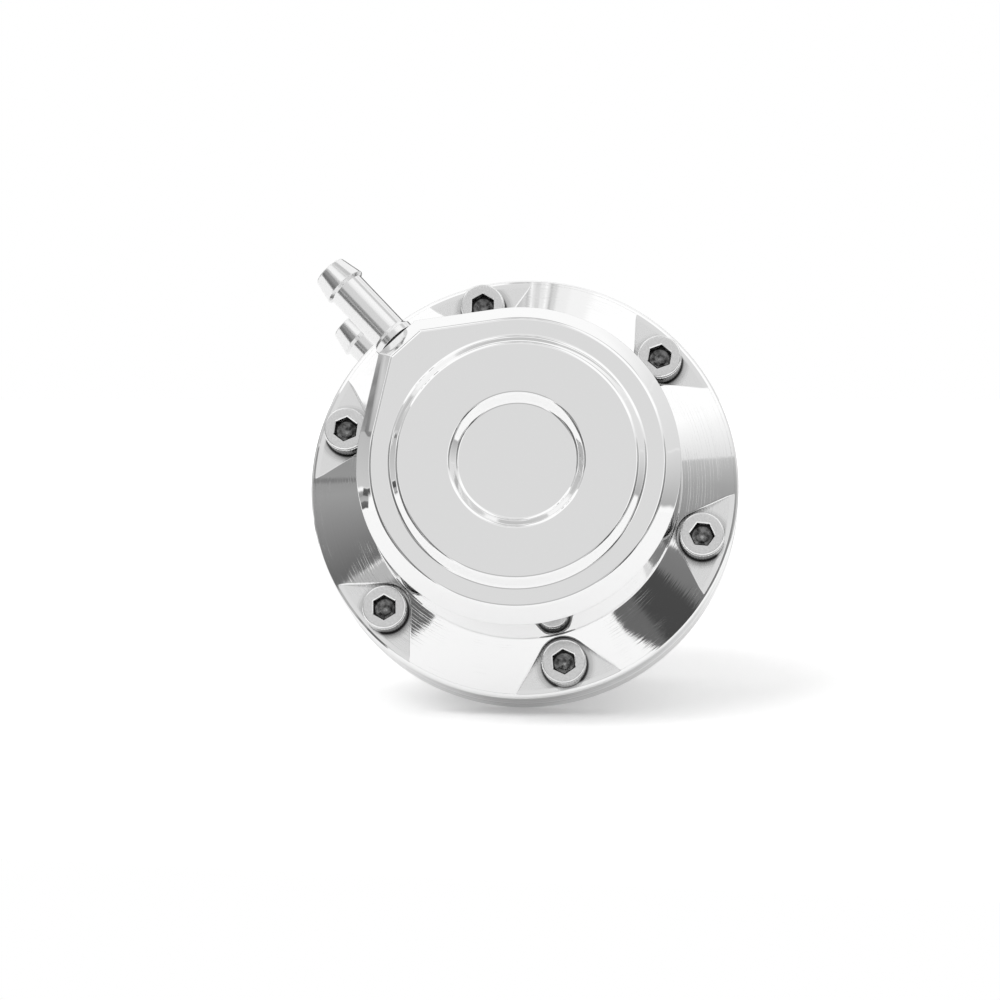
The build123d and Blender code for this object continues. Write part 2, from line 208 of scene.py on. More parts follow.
def piece(name, grids, body, materials, replaces=(), fills=(), sharp=32, dark=(), closed=True):
    """One piece from grids of points in millimetres. Points that coincide are merged, flat
    faces are filled in between the open edges at the heights in fills, and edges that turn
    more than the sharp angle stay crisp. The faces of the grids numbered in dark take the
    second material. The faces of a closed piece are turned outwards, and the grids of one
    with an open seam look outwards already."""
    points, faces, second, start = [], [], [], 0
    for number, grid in enumerate(grids):
        rows, columns = grid.shape[:2]
        new = quads(rows, columns) + start
        points.append(grid.reshape(-1, 3))
        faces.append(new)
        second.append(np.full(len(new), number in dark, int))
        start += rows * columns
    mesh = bpy.data.meshes.new(name)
    mesh.from_pydata((np.vstack(points) * MM).tolist(), [], np.vstack(faces).tolist())
    mesh.polygons.foreach_set("material_index", np.concatenate(second))
    work = bmesh.new()
    work.from_mesh(mesh)
    bmesh.ops.remove_doubles(work, verts=work.verts, dist=2e-7)
    bmesh.ops.dissolve_degenerate(work, edges=work.edges, dist=1e-8)
    for height in fills:
        rim = [e for e in work.edges if e.is_boundary
               and all(abs(v.co.z / MM - height) < 1e-3 for v in e.verts)]
        bmesh.ops.triangle_fill(work, edges=rim, use_beauty=True, use_dissolve=False)
    if closed:
        bmesh.ops.recalc_face_normals(work, faces=work.faces)
    work.to_mesh(mesh)
    work.free()
    mesh.polygons.foreach_set("use_smooth", np.ones(len(mesh.polygons), bool))
    mesh.set_sharp_from_angle(angle=radians(sharp))
    thing = bpy.data.objects.new(name, mesh)
    scene.collection.objects.link(thing)
    for material in materials:
        mesh.materials.append(material)
    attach(thing, body)
    if replaces:
        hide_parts(*replaces)
    return thing


def can_outline(r, reach, inset, flat_w=boss_w, corner=boss_corner):
    """The outline of a round can with its boss, drawn in by each inset: an array of insets by
    stations by (x, y). A station is set by its outward direction, by how far it has left the
    can's circle for the boss's corner, and by its side of the boss: the point is
    (1 - t) (r - inset) n + t (corner's centre + corner n), n being the outward direction."""
    touch = atan2(flat_w / 2, reach) + acos(r / hypot(flat_w / 2, reach))
    near = np.array([0, 0.01, 0.06])
    flat = np.concatenate([near, np.linspace(0.15, 0.85, 7), 1 - near[::-1]])
    flank = np.concatenate([near, np.linspace(0.12, 0.88, 12), 1 - near[::-1]])[1:-1]
    round_corner = np.linspace(0, touch, 7)
    arc = np.linspace(touch, 2 * pi - touch, 205)
    way = np.concatenate([0 * flat, round_corner[1:], touch + 0 * flank, arc,
                          -touch + 0 * flank, -round_corner[:0:-1]])
    t = np.concatenate([1 + 0 * flat, 1 + 0 * round_corner[1:], 1 - flank, 0 * arc,
                        flank, 1 + 0 * round_corner[1:]])
    side = np.concatenate([2 * flat - 1, 1 + 0 * round_corner[1:], 1 + 0 * flank, 0 * arc,
                           -1 + 0 * flank, -1 + 0 * round_corner[1:]])
    inset = np.asarray(inset, float)[:, None]
    centre_x = reach - inset - corner
    centre_y = (r - inset - corner - centre_x * cos(touch)) / sin(touch)
    x = (1 - t) * (r - inset) * np.cos(way) + t * (centre_x + corner * np.cos(way))
    y = (1 - t) * (r - inset) * np.sin(way) + t * (side * centre_y + corner * np.sin(way))
    return np.stack([x, y], axis=-1)


def even_ring(outline, radius):
    """Points at a radius, spaced evenly, that start beside the outline's first station."""
    first = np.arctan2(outline[0, 1], outline[0, 0])
    angle = first + np.linspace(0, 2 * pi, len(outline), endpoint=False)
    return np.asarray(radius, float)[:, None, None] * np.stack([np.cos(angle), np.sin(angle)], axis=-1)


def with_height(flat_points, height):
    """Adds a height to an array of (x, y) rows: one number for each row, or one for each point."""
    height = np.asarray(height, float)
    if height.ndim == 1:
        height = height[:, None]
    return np.dstack([flat_points, np.broadcast_to(height, flat_points.shape[:2])])


cone_fall = (cone_top_z - rim_z) / (flange_d / 2 - edge_break - can_d / 2)
cone_zero = cone_top_z + cone_fall * can_d / 2


def cone_height(radius):
    """Height of the flange's conical top at a radius."""
    return cone_zero - cone_fall * radius


def cap_can():
    """The can of the cap. Its wall, chamfer and face follow the outline with the boss, and the
    raised ring and the middle are circles. At its foot the wall flares out to the cone."""
    mid_wall_z, wall_edge_r, inner_face_r = 60, 0.4, 5
    middle, crown, crown_r = face_chamfer / 2, 0.025, 45
    wall_top = rounded([
        (0, mid_wall_z), (0, face_z - face_chamfer, wall_edge_r),
        (middle - crown, face_z - middle + crown, crown_r),
        (face_chamfer, face_z, polish_r), (face_chamfer + polish_r, face_z),
    ], steps=9)
    # The flare: how far each row of it stands in from the wall, and how high above the cone
    flare_inset = np.array([-0.22, -0.2, -0.12, -0.055, -0.015, 0, 0, 0])
    flare_above = np.array([-0.06, 0, 0.015, 0.055, 0.12, 0.2, 0.3, 1.5])[:, None]
    rows = can_outline(can_d / 2, cap_reach, np.concatenate([flare_inset, wall_top[:, 0]]))
    flare = rows[:len(flare_inset)]
    foot = cone_height(np.hypot(flare[..., 0], flare[..., 1])) + flare_above
    upper = np.broadcast_to(wall_top[:, 1:], (len(wall_top), rows.shape[1]))
    shell = with_height(rows, np.vstack([foot, upper]))
    ring = rounded([
        (ring_outer_d / 2 + polish_r, face_z), (ring_outer_d / 2, face_z, polish_r),
        (ring_outer_d / 2 - ring_h, face_z + ring_h, polish_r),
        (ring_inner_d / 2 + ring_h, face_z + ring_h, polish_r),
        (ring_inner_d / 2, face_z, polish_r), (inner_face_r, face_z), (0, face_z),
    ], steps=9)
    top = with_height(even_ring(rows[-1], ring[:, 0]), ring[:, 1])
    return np.concatenate([shell, top])


def pocket_edge(angle, radius):
    """Distance from the axis to a pocket's edge along a ray, the angle being taken from the
    screw. The edge is a circle round the screw, and past the points where they touch it, two
    straight walls at half a right angle to the screw's own ray."""
    c = screw_pcd / 2
    angle = np.abs(angle)
    touch = np.arctan2(radius / np.sqrt(2), c - radius / np.sqrt(2))
    arc = c * np.cos(angle) - np.sqrt(np.maximum(radius ** 2 - (c * np.sin(angle)) ** 2, 0))
    wall = (c - radius * np.sqrt(2)) / np.maximum(np.cos(angle) - np.sin(angle), 1e-3)
    return np.where(angle < touch, arc, wall)


def cap_flange():
    """The flange of the cap, one column of points at each angle. A column runs out along the
    cone to the edge of a screw pocket, over a rounding, down the pocket's wall and along its
    floor to where the floor's plane leaves the cone, or stays on the cone all that way. From
    there it follows the cone to the rim, and goes down the rim and back to the bore."""
    rim_r = flange_d / 2
    cone_r = rim_r - rim_bevel
    floor_r = (cone_zero - pocket_z) / cone_fall
    wall_limit = floor_r - 0.2
    under_can_r = can_d / 2 - 0.8
    tiny = 0.08
    half = np.radians(np.concatenate([
        np.linspace(0, 6.05, 14), np.linspace(6.7, 14.2, 14), np.linspace(14.5, 15.0, 4),
        [15.06, 15.12, 15.2, 15.4], np.linspace(16, 30, 14)[:-1], [30],
    ]))
    sector = np.concatenate([-half[:0:-1], half[:-1]])
    angle = (screw_angles[:, None] + sector).ravel()
    off = np.tile(sector, len(screw_angles))
    edge = pocket_edge(off, pocket_r)
    inside = edge < wall_limit
    corner_r = np.where(inside, edge, wall_limit)
    corner_z = cone_height(corner_r)
    soft = np.where(inside, np.minimum(pocket_round, 0.8 * (corner_z - pocket_z)), 0.05)
    start_r = np.where(inside, np.minimum(pocket_edge(off, pocket_r + soft), corner_r), corner_r - 0.05)
    start_z = cone_height(start_r)
    past_r = np.where(inside, corner_r, corner_r + 0.03)
    past_z = np.where(inside, corner_z - soft, cone_height(past_r))
    foot_r = np.where(inside, corner_r, corner_r + 0.06)
    foot_z = np.where(inside, pocket_z, cone_height(foot_r))

    def line(r0, z0, r1, z1, shares):
        share = np.asarray(shares)[:, None]
        return r0 + (r1 - r0) * share, z0 + (z1 - z0) * share

    inner_r = np.full_like(corner_r, under_can_r)
    outer_r = np.full_like(corner_r, floor_r)
    floor_z_here = np.full_like(corner_r, pocket_z)
    cone_part = line(inner_r, cone_height(inner_r), start_r, start_z, [0, 0.3, 0.6, 0.85, 0.97])
    bend = np.linspace(0, 1, 8)[:, None]
    bend_part = [(1 - bend) ** 2 * a + 2 * bend * (1 - bend) * b + bend ** 2 * c
                 for a, b, c in ((start_r, corner_r, past_r), (start_z, corner_z, past_z))]
    wall_part = line(past_r, past_z, foot_r, foot_z, [0.1, 0.9, 1])
    floor_part = line(foot_r, foot_z, outer_r, floor_z_here, [0.02, 0.2, 0.6])
    edge_start_z = np.where(inside, pocket_z, cone_height(floor_r - tiny))
    edge_part = line(outer_r - tiny, edge_start_z, outer_r, floor_z_here, [0, 1])
    rim = rounded([
        (floor_r, pocket_z), (floor_r + tiny, cone_height(floor_r + tiny)),
        (cone_r, cone_height(cone_r), 0.35), (rim_r, cone_height(cone_r) - rim_bevel, 0.6),
        (rim_r, joint_z + edge_break, 0.12), (rim_r - edge_break, joint_z, 0.1),
        (bore_d / 2 + 1, joint_z, 0.1), (bore_d / 2, joint_z + 1, 0.1),
        (bore_d / 2, roof_z, 0.5), (0, roof_z),
    ])[1:]
    rim_part = [np.broadcast_to(rim[:, i, None], (len(rim), len(angle))) for i in (0, 1)]
    r, z = [np.vstack(part) for part in
            zip(cone_part, bend_part, wall_part, floor_part, edge_part, rim_part)]
    return np.stack([r * np.cos(angle), r * np.sin(angle), z], axis=-1)


def body_grids():
    """The body: a barrel with its boss under a flange, open to the spring chamber above, with
    the hub in the middle. The flat faces between its grids are filled in afterwards."""
    barrel = rounded([(base_chamfer + 0.3, 0), (base_chamfer, 0, 0.15), (0, base_chamfer, 0.2),
                      (0, body_under_z - 0.3, 0.0), (-0.3, body_under_z)])
    outline = can_outline(body_d / 2, body_reach, barrel[:, 0])
    shell = with_height(outline, barrel[:, 1])
    r = flange_d / 2
    flange = turned(rounded([
        (r - 3, body_under_z), (r - edge_break, body_under_z, 0.12),
        (r, body_under_z + edge_break, 0.12), (r, body_h - edge_break, 0.12),
        (r - edge_break, body_h, 0.12), (r - 0.9, body_h),
    ]), 360)
    chamber = turned(rounded([
        (bore_d / 2 + 1.4, body_h), (bore_d / 2 + 1, body_h, 0.1), (bore_d / 2, body_h - 1, 0.2),
        (bore_d / 2, floor_z, 0.8), (hub_d / 2, floor_z, 0.8), (hub_d / 2, hub_h, 0.3),
        (seal_pocket_d / 2, hub_h, 0.2), (seal_pocket_d / 2, bush_top_z, 0.1),
        (bush_d / 2, bush_top_z, 0.1), (bush_d / 2, 0, 0.15), (bush_d / 2 + 0.4, 0),
    ]), 192)
    holes = []
    hole_r, hole_break, drill_tip_z = mount_hole_d / 2, 0.35, mount_hole_depth + 1.5
    for angle in mount_angles:
        centre = (mount_pcd / 2 * cos(angle), mount_pcd / 2 * sin(angle))
        holes.append(turned(rounded([
            (hole_r + 0.5, 0), (hole_r + hole_break, 0, 0.05),
            (hole_r, hole_break, 0.05), (hole_r, mount_hole_depth, 0.05), (0, drill_tip_z),
        ]), 48, centre=centre))
    screw_hole_r = screw_d / 2 + 0.03
    for angle in screw_angles:
        centre = (screw_pcd / 2 * cos(angle), screw_pcd / 2 * sin(angle))
        holes.append(turned([(screw_hole_r, body_under_z), (screw_hole_r, body_h)], 40, centre=centre))
    return [shell, flange, chamber, *holes]


def hex_radius(angle, af):
    """Distance from the middle of a hexagon to its side at an angle, with a corner at zero."""
    return af / 2 / np.cos((angle % (pi / 3)) - pi / 6)


def screw_grids(turn):
    """One socket head cap screw on its axis: a knurled head whose radius goes up and down three
    points to a ridge, the shank, and the hexagon socket with a drilled cone at its bottom. A
    small chamfer, a hexagon itself, breaks the socket's mouth."""
    columns = 144
    angle = np.linspace(0, 2 * pi, columns, endpoint=False)
    top, tip = pocket_z + head_h, pocket_z - screw_l
    shank_r, head_r, foot_break, ridge_depth = screw_d / 2, head_d / 2, 0.3, 0.045
    band_r, band_z, face_in_r, lip_out_r, lip_depth = head_r - 0.1, top - 0.8, 3.1, 2.75, 0.2
    outside = turned(rounded([
        (0, tip), (shank_r - 0.5, tip, 0.1), (shank_r, tip + 0.5, 0.1), (shank_r, pocket_z, 0.1),
        (head_r - foot_break, pocket_z, 0.1), (head_r, pocket_z + foot_break, 0.1),
        (head_r, band_z - 0.15, 0.1), (band_r, band_z, 0.1), (band_r, top, 0.5), (face_in_r, top),
    ]), columns)
    side = np.hypot(outside[..., 0], outside[..., 1]) > head_r - 0.02
    groove = side & (np.arange(columns) % 3 == 0)
    outside[..., :2] *= np.where(groove, 1 - ridge_depth / head_r, 1)[..., None]
    mouth = hex_radius(angle + turn, socket_af + 0.5)
    wall = hex_radius(angle + turn, socket_af + 0.1)
    low = top - socket_depth
    rows = [(lip_out_r + 0 * wall, top), (mouth, top), (wall, top - lip_depth)]
    inside = [(wall, top - lip_depth), (wall, low), (0.8 * wall, low - 0.12),
              (1.2 + 0 * wall, low - 0.3), (0 * wall, low - 0.95)]
    lip, socket = [np.stack([np.stack([r * np.cos(angle), r * np.sin(angle), z + 0 * r], axis=-1)
                             for r, z in part]) for part in (rows, inside)]
    return np.concatenate([outside, lip]), socket


def threaded(r, pitch, low, high, depth, columns=64, teeth=6):
    """An outside thread: each row of points follows the helix, rising one pitch a turn, and the
    radius falls by the depth from crest to root over each pitch. Rows past an end are held at
    its height, where the thread is turned down to the root."""
    turns = int((high - low) / pitch) + 2
    row = np.arange(turns * teeth + 1)[:, None]
    angle = np.linspace(0, 2 * pi, columns + 1)
    z = low + (row / teeth - 1 + angle / (2 * pi)) * pitch
    wave = np.array([0, 0, 0.5, 1, 1, 0.5])[row % teeth]
    radius = r - depth * wave
    z = np.clip(z, low, high)
    taper = np.minimum(z - low, high - z)
    radius = np.minimum(radius, r - depth + taper)
    return np.stack([radius * np.cos(angle), radius * np.sin(angle), z + 0 * radius], axis=-1)


def nut_grid(af, low, height, bore):
    """A hexagon nut: the side at each angle runs between two heights that fall away where the
    corners were turned off at thirty degrees, and the bore has a countersink at both ends."""
    angle = np.linspace(0, 2 * pi, 144, endpoint=False)
    side = hex_radius(angle, af)
    flat_r, bore_r, high = af / 2 * 0.97, bore / 2, low + height
    sink_w, sink_h, inner_z = 0.5, 0.55, low + 1
    drop = (side - flat_r) * tan(radians(30))
    rows = [(bore_r, inner_z), (bore_r, low + sink_h), (bore_r + sink_w, low), (flat_r, low),
            (side, low + drop), (side, high - drop), (flat_r, high), (bore_r + sink_w, high),
            (bore_r, high - sink_h), (bore_r, inner_z)]
    r, z = [np.array([row[i] + 0 * side for row in rows]) for i in (0, 1)]
    return np.stack([r * np.cos(angle), r * np.sin(angle), z], axis=-1)


def coil_grid(mean_d, wire, turns, low, high):
    """A compression spring: a round wire along a helix whose ends rise only by the wire's
    thickness over three quarters of a turn, and whose faces are ground off flat."""
    closed, ground_off = 0.75, 0.15
    rise = wire * 1.02 * closed
    turn = np.linspace(0, turns, int(turns * 40) + 1)
    bottom, top = low + wire / 2 - ground_off, high - wire / 2 + ground_off
    middle = bottom + rise + (top - bottom - 2 * rise) * (turn - closed) / (turns - 2 * closed)
    height = np.where(turn < closed, bottom + rise * turn / closed,
                      np.where(turn > turns - closed, top - rise * (turns - turn) / closed, middle))
    section = np.linspace(0, 2 * pi, 16, endpoint=False)
    r = mean_d / 2 + wire / 2 * np.cos(section)
    angle = (2 * pi * turn)[:, None]
    z = np.clip(height[:, None] + wire / 2 * np.sin(section), low, high)
    tube = np.stack([r * np.cos(angle), r * np.sin(angle), z], axis=-1)
    ends = [np.broadcast_to(tube[i].mean(axis=0), tube[:1].shape) for i in (0, -1)]
    return np.concatenate([ends[0], tube, ends[1]])


def sheet_grid():
    """The rolling diaphragm: a sheet of even thickness laid along a path from the clamped rim,
    down beside the chamber's wall, round one fold, and up over the piston to its middle."""
    half, bend_r = sheet_t / 2, 1.2
    outer = bore_d / 2 - sheet_gap - half
    inner = piston_d / 2 + sheet_gap + half
    fold = (outer - inner) / 2
    fold_z, rim, top = body_h - fold_drop, body_h + half, piston_top_z + half
    path = rounded([
        (flange_d / 2 - edge_break - half, rim), (outer, rim, bend_r),
        (outer, fold_z - fold, fold * 0.999), (inner, fold_z - fold, fold * 0.999),
        (inner, top, bend_r), (thread_d / 2 + 0.5, top),
    ], steps=8)
    along = np.gradient(path, axis=0)
    along /= np.hypot(along[:, :1], along[:, 1:])
    across = np.stack([-along[:, 1], along[:, 0]], axis=-1) * half
    section = np.vstack([path + across, (path - across)[::-1], path[:1] + across[:1]])
    return turned(section, 128)


def tail_grid(reach, z):
    """A hose tail along +X: thread, collar, plain tube and one barb that tapers to the tip, with
    the bore running right through. A thin lip of the collar reaches over the seal."""
    seat = reach + tail_seal_t
    tube = seat + tail_collar_t
    barb = tube + tail_tube_l
    tip = barb + tail_barb_step + tail_barb_l
    bore_r, thread_r, lip_r = tail_bore_d / 2, tail_thread_d / 2, tail_seal_d / 2 + tail_lip_gap
    thread_end, bore_end, mouth_break = reach - tail_thread_l, reach - 5, 0.25
    profile = rounded([
        (bore_r, bore_end), (thread_r, thread_end, 0.1), (thread_r, seat, 0.05),
        (lip_r, seat, 0.02), (lip_r, seat - tail_lip, 0.02),
        (tail_collar_d / 2, seat - tail_lip, 0.1), (tail_collar_d / 2, tube - 0.4, 0.15),
        (tail_tube_d / 2, tube + 0.3, 0.25), (tail_tube_d / 2, barb, 0.06),
        (tail_barb_d / 2, barb + tail_barb_step, 0.1), (tail_tip_d / 2, tip, 0.25),
        (bore_r + mouth_break, tip, 0.1), (bore_r, tip - mouth_break, 0.1), (bore_r, bore_end),
    ])
    return turned(profile, 96, axis="X") + np.array([0, 0, z])


def tail_seal_grid(reach, z):
    """The rubber ring between a hose tail's collar and its boss."""
    inner_r, outer_r, seat = tail_seal_in_d / 2, tail_seal_d / 2, reach + tail_seal_t
    profile = rounded([
        (inner_r, reach), (outer_r, reach, 0.4), (outer_r, seat, 0.4),
        (inner_r, seat, 0.1), (inner_r, reach),
    ])
    return turned(profile, 72, axis="X") + np.array([0, 0, z])


# Finishes

def nodes_of(name, roughness, colour, metallic=1.0):
    """A new material, its node tree and its shader."""
    material = bpy.data.materials.new(name)
    material.use_nodes = True
    tree = material.node_tree
    shader = tree.nodes["Principled BSDF"]
    shader.inputs["Metallic"].default_value = metallic
    shader.inputs["Roughness"].default_value = roughness
    shader.inputs["Base Color"].default_value = (*colour, 1)
    return material, tree, shader


def add(tree, kind, operation=None, *values):
    """Adds a node, sets its operation and its inputs, and gives back its first output."""
    node = tree.nodes.new(kind)
    if operation:
        node.operation = operation
    for socket, value in zip(node.inputs, values):
        if isinstance(value, bpy.types.NodeSocket):
            tree.links.new(value, socket)
        elif value is not None:
            socket.default_value = value
    return node.outputs[0]


def maths(tree, operation, *values):
    """A maths node."""
    return add(tree, "ShaderNodeMath", operation, *values)


def times(tree, first, *others):
    """The product of some numbers."""
    for other in others:
        first = maths(tree, "MULTIPLY", first, other)
    return first


def length(tree, a, b):
    """The length of the vector (a, b)."""
    return maths(tree, "SQRT", maths(tree, "ADD", times(tree, a, a), times(tree, b, b)))


def ramp(tree, value, low, high, out_low=0.0, out_high=1.0, smooth=True):
    """Carries a number from one range to another and holds it at both ends. A smooth ramp holds
    it by itself, and only a straight one is clamped."""
    node = tree.nodes.new("ShaderNodeMapRange")
    node.interpolation_type = "SMOOTHSTEP" if smooth else "LINEAR"
    node.clamp = not smooth
    tree.links.new(value, node.inputs["Value"])
    for key, number in (("From Min", low), ("From Max", high), ("To Min", out_low), ("To Max", out_high)):
        node.inputs[key].default_value = number
    return node.outputs["Result"]


def own_xyz(tree):
    """The piece's own coordinates in millimetres, as a vector and as x, y and z."""
    own = tree.nodes.new("ShaderNodeTexCoord").outputs["Object"]
    place = add(tree, "ShaderNodeVectorMath", "SCALE", own)
    place.node.inputs["Scale"].default_value = 1 / MM
    split = tree.nodes.new("ShaderNodeSeparateXYZ")
    tree.links.new(place, split.inputs[0])
    return place, split.outputs


def noise(tree, vector=None, w=None, scale=1.0, detail=2.0):
    """Noise over a vector, or along one number."""
    node = tree.nodes.new("ShaderNodeTexNoise")
    node.noise_dimensions = "1D" if w is not None else "3D"
    if w is not None:
        tree.links.new(w, node.inputs["W"])
    else:
        tree.links.new(vector, node.inputs["Vector"])
    node.inputs["Scale"].default_value = scale
    node.inputs["Detail"].default_value = detail
    return node.outputs["Fac"]


def bump(tree, shader, height, distance_mm):
    """Raises the surface by a height between 0 and 1 times a distance."""
    node = tree.nodes.new("ShaderNodeBump")
    node.inputs["Distance"].default_value = distance_mm * MM
    node.inputs["Strength"].default_value = 1.0
    tree.links.new(height, node.inputs["Height"])
    tree.links.new(node.outputs["Normal"], shader.inputs["Normal"])


def from_screw(tree, x, y):
    """Distances from the part's axis, r, and from the axis of the nearest screw. The angle round
    the part is folded to the screw's own sixth, a, and the second distance is the length of
    (r cos a - pitch radius, r sin a)."""
    radius = length(tree, x, y)
    angle = maths(tree, "FLOORED_MODULO", maths(tree, "ARCTAN2", y, x), pi / 3)
    angle = maths(tree, "SUBTRACT", angle, pi / 6)
    outwards = times(tree, radius, maths(tree, "COSINE", angle))
    sideways = times(tree, radius, maths(tree, "SINE", angle))
    return radius, length(tree, maths(tree, "SUBTRACT", outwards, screw_pcd / 2), sideways)


def tint(tree, shader, value):
    """Sets a neutral base colour from one number."""
    colour = tree.nodes.new("ShaderNodeCombineColor")
    for channel in colour.inputs[:3]:
        tree.links.new(value, channel)
    tree.links.new(colour.outputs[0], shader.inputs["Base Color"])


def polished_aluminium():
    """Aluminium turned and then buffed to a mirror. The turning left rings, which show only on
    the cone, where they make the edges of the reflections ragged; fine wiping haze elsewhere.
    The screw pockets are milled: duller, with cutter marks round each screw, and painted darker
    round each screw's head and against the pocket's wall as painted shade, with a painted contact
    shadow right at the head. The flat end of the boss is milled too. The rim's side has lines round
    it, darkened partly as painted shade."""
    material, tree, shader = nodes_of("polished_aluminium", 0.035, (0.93, 0.932, 0.936))
    place, (x, y, z) = own_xyz(tree)
    radius, away = from_screw(tree, x, y)
    wall_r, rim_r, head_r, brightness = can_d / 2, flange_d / 2, head_d / 2, 0.932

    # Where on the part each finish is, from 0 to 1
    on_cone = times(tree, ramp(tree, z, cone_top_z + 0.1, cone_top_z + 0.2, 1, 0),
                    ramp(tree, radius, wall_r - 0.1, wall_r + 0.2))
    below_cone = maths(tree, "SUBTRACT", maths(tree, "MULTIPLY_ADD", radius, -cone_fall, cone_zero), z)
    in_pocket = times(tree, ramp(tree, below_cone, 0.2, 0.4),
                      ramp(tree, z, pocket_z - 0.1, pocket_z - 0.05),
                      ramp(tree, radius, wall_r + 0.1, wall_r + 0.2))
    boss_end = times(tree, ramp(tree, x, cap_reach - 0.05, cap_reach - 0.02),
                     ramp(tree, z, cone_top_z + 0.4, cone_top_z + 0.5))
    rim_side = times(tree, ramp(tree, radius, rim_r - 0.1, rim_r - 0.03),
                     ramp(tree, z, rim_z - 0.7, rim_z - 0.5, 1.0, 0.0))

    # Roughness: wiping haze, duller milled faces, and scratches that follow the rings
    haze = noise(tree, vector=place, scale=0.35, detail=3)
    polish = ramp(tree, haze, 0.3, 0.75, 0.025, 0.06)
    milled = maths(tree, "ADD", times(tree, in_pocket, 0.15), times(tree, boss_end, 0.25))
    scratched = ramp(tree, noise(tree, vector=place, scale=0.11, detail=2), 0.42, 0.6)
    scratches = ramp(tree, noise(tree, w=radius, scale=5.0, detail=4), 0.52, 0.66, 0.0, 0.2)
    dull = maths(tree, "ADD", milled, times(tree, scratches, scratched, on_cone))
    tree.links.new(maths(tree, "ADD", polish, dull), shader.inputs["Roughness"])

    # Tone: painted shade round each screw's head and against the pocket's wall, and on the rim's side
    # lines darkened partly as painted shade
    cutter = noise(tree, w=away, scale=5.0, detail=3)
    from_head = maths(tree, "ADD", away, times(tree, cutter, 0.8))
    # Painted shade: darker near each screw's head and the pocket's wall, with a painted contact shadow at
    # the head
    painted_pocket_shade = times(tree, ramp(tree, away, head_r + 0.1, head_r + 0.5, 0.1, 1.0),
                 ramp(tree, from_head, pocket_r - 0.05, pocket_r + 1.75, 0.62, 0.96))
    tone = tree.nodes.new("ShaderNodeMix")
    tree.links.new(in_pocket, tone.inputs[0])
    tone.inputs[2].default_value = 1.0
    tree.links.new(painted_pocket_shade, tone.inputs[3])
    # The rim's side: machining lines round it, and darker overall as painted shade of the shaded table it
    # reflects
    side_lines_and_shade = ramp(tree, noise(tree, w=z, scale=1.6, detail=3), 0.35, 0.65, 0.3, 0.08)
    shaded_side_tone = maths(tree, "SUBTRACT", 1.0, times(tree, rim_side, side_lines_and_shade))
    tint(tree, shader, times(tree, tone.outputs[0], shaded_side_tone, brightness))

    # Relief: the rings on the cone, and the cutter's marks in the pockets
    rings = noise(tree, w=radius, scale=2.4, detail=3)
    marks = maths(tree, "ADD", times(tree, rings, on_cone), times(tree, cutter, in_pocket, 0.8))
    bump(tree, shader, marks, 0.0032)
    return material


def screw_steel_finish():
    """Stainless screws: knurled sides painted dark as painted shade, darkest at their foot as a painted
    contact shadow; chamfers painted bright as a painted highlight, and top faces turned in rings and
    painted a little darker than the chamfers. The tone also varies along the height as oil. The kind of
    face is told by how far its normal leans from the screw's axis."""
    material, tree, shader = nodes_of("stainless_screws", 0.22, (0.7, 0.7, 0.7))
    place, (x, y, z) = own_xyz(tree)
    away = from_screw(tree, x, y)[1]
    split = tree.nodes.new("ShaderNodeSeparateXYZ")
    tree.links.new(tree.nodes.new("ShaderNodeTexCoord").outputs["Normal"], split.inputs[0])
    upright = split.outputs[2]
    brightest = 0.95
    oil = noise(tree, w=z, scale=1.6, detail=3)
    # Painted contact shadow: the head darkens towards its foot on the pocket's floor
    foot = ramp(tree, z, pocket_z + 0.5, pocket_z + 1.3, 0.12, 1.0)
    # Painted shade and highlight: faces that lean away from the axis are dark, and the chamfers are
    # bright
    shaded_side_tone = times(tree, ramp(tree, upright, 0.1, 0.45, 0.32, brightest),
                      ramp(tree, oil, 0.3, 0.7, 0.6, 1.4), foot)
    shaded_side_tone = maths(tree, "MINIMUM", shaded_side_tone, brightest)
    rings = noise(tree, w=away, scale=6.0, detail=3)
    mottle = noise(tree, vector=place, scale=2.5, detail=3)
    # The top face is a little darker than the chamfer, as painted shade
    tint(tree, shader, times(tree, shaded_side_tone, ramp(tree, upright, 0.9, 0.97, 1.0, 0.82),
                             ramp(tree, mottle, 0.3, 0.7, 0.94, 1.04)))
    tree.links.new(ramp(tree, upright, 0.9, 0.97, 0.1, 0.24), shader.inputs["Roughness"])
    bump(tree, shader, rings, 0.002)
    return material


def socket_finish():
    """The inside of the hexagon sockets: the walls painted dark as painted shade on dark steel, and the
    drilled bottom painted lighter towards its middle as a painted highlight.
    """
    material, tree, shader = nodes_of("socket_steel", 0.3, (0.3, 0.3, 0.3))
    place, (x, y, z) = own_xyz(tree)
    away = from_screw(tree, x, y)[1]
    wall_r = socket_af / 2
    mottle = noise(tree, vector=place, scale=1.3, detail=2)
    # Painted: lighter in the middle of the bottom as a painted highlight, and near black at the walls as
    # painted shade
    tint(tree, shader, times(tree, ramp(tree, away, 0.1, 0.5, 0.34, 0.15),
                             ramp(tree, away, wall_r - 0.2, wall_r - 0.02, 1.0, 0.12),
                             ramp(tree, mottle, 0.35, 0.65, 0.55, 1.5)))
    tree.links.new(ramp(tree, mottle, 0.3, 0.7, 0.16, 0.3), shader.inputs["Roughness"])
    bump(tree, shader, noise(tree, w=away, scale=5.0, detail=2), 0.006)
    return material


